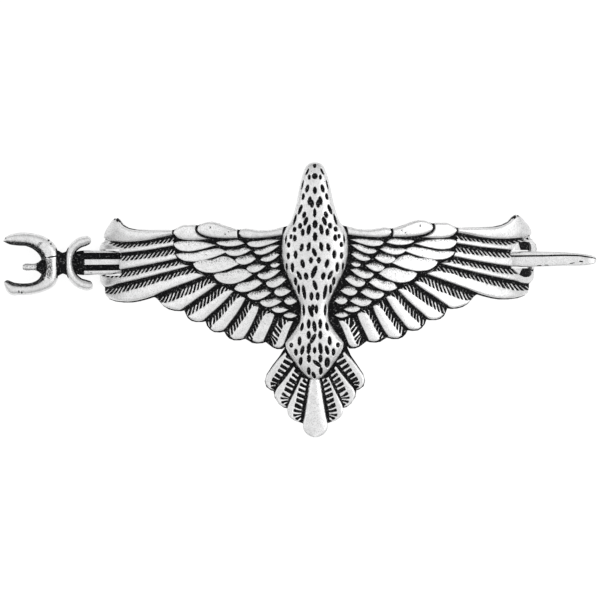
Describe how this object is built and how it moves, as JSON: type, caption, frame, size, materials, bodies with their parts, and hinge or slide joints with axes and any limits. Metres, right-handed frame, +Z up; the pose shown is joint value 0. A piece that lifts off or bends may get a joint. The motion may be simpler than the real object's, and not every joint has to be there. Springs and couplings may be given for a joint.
{
  "type": "hair slide with stick",
  "caption": "Bowed cast metal hair slide in the form of a spread-winged bird, with a hole in each wing tip and a tapered stick with a double crescent end.",
  "frame": {"origin": "middle of the whole object's plan, on the surface that the wing tips rest on, with the stick fully in", "axes": "+X along the stick towards its tip (the bird's wing span), +Y towards the bird's head, +Z up out of the decorated face"},
  "size_m": [0.1567, 0.0724, 0.029],
  "materials": {
    "plate_silver": "satin antique silver over a cast white metal, black in the recesses",
    "stick_silver": "satin antique silver over a cast white metal, black in the grooves"
  },
  "bodies": {
    "plate": {"wing_plate": "plate_silver", "bird_body": "plate_silver"},
    "stick": {"stick_shaft": "stick_silver", "collar_crescent": "stick_silver", "crescent_finial": "stick_silver", "finial_peg": "stick_silver"}
  },
  "joints": [
    {"name": "stick_slide", "type": "slide", "parent": "plate", "child": "stick", "axis": [-1, 0, 0], "range_m": [-0.001, 0.14]}
  ]
}
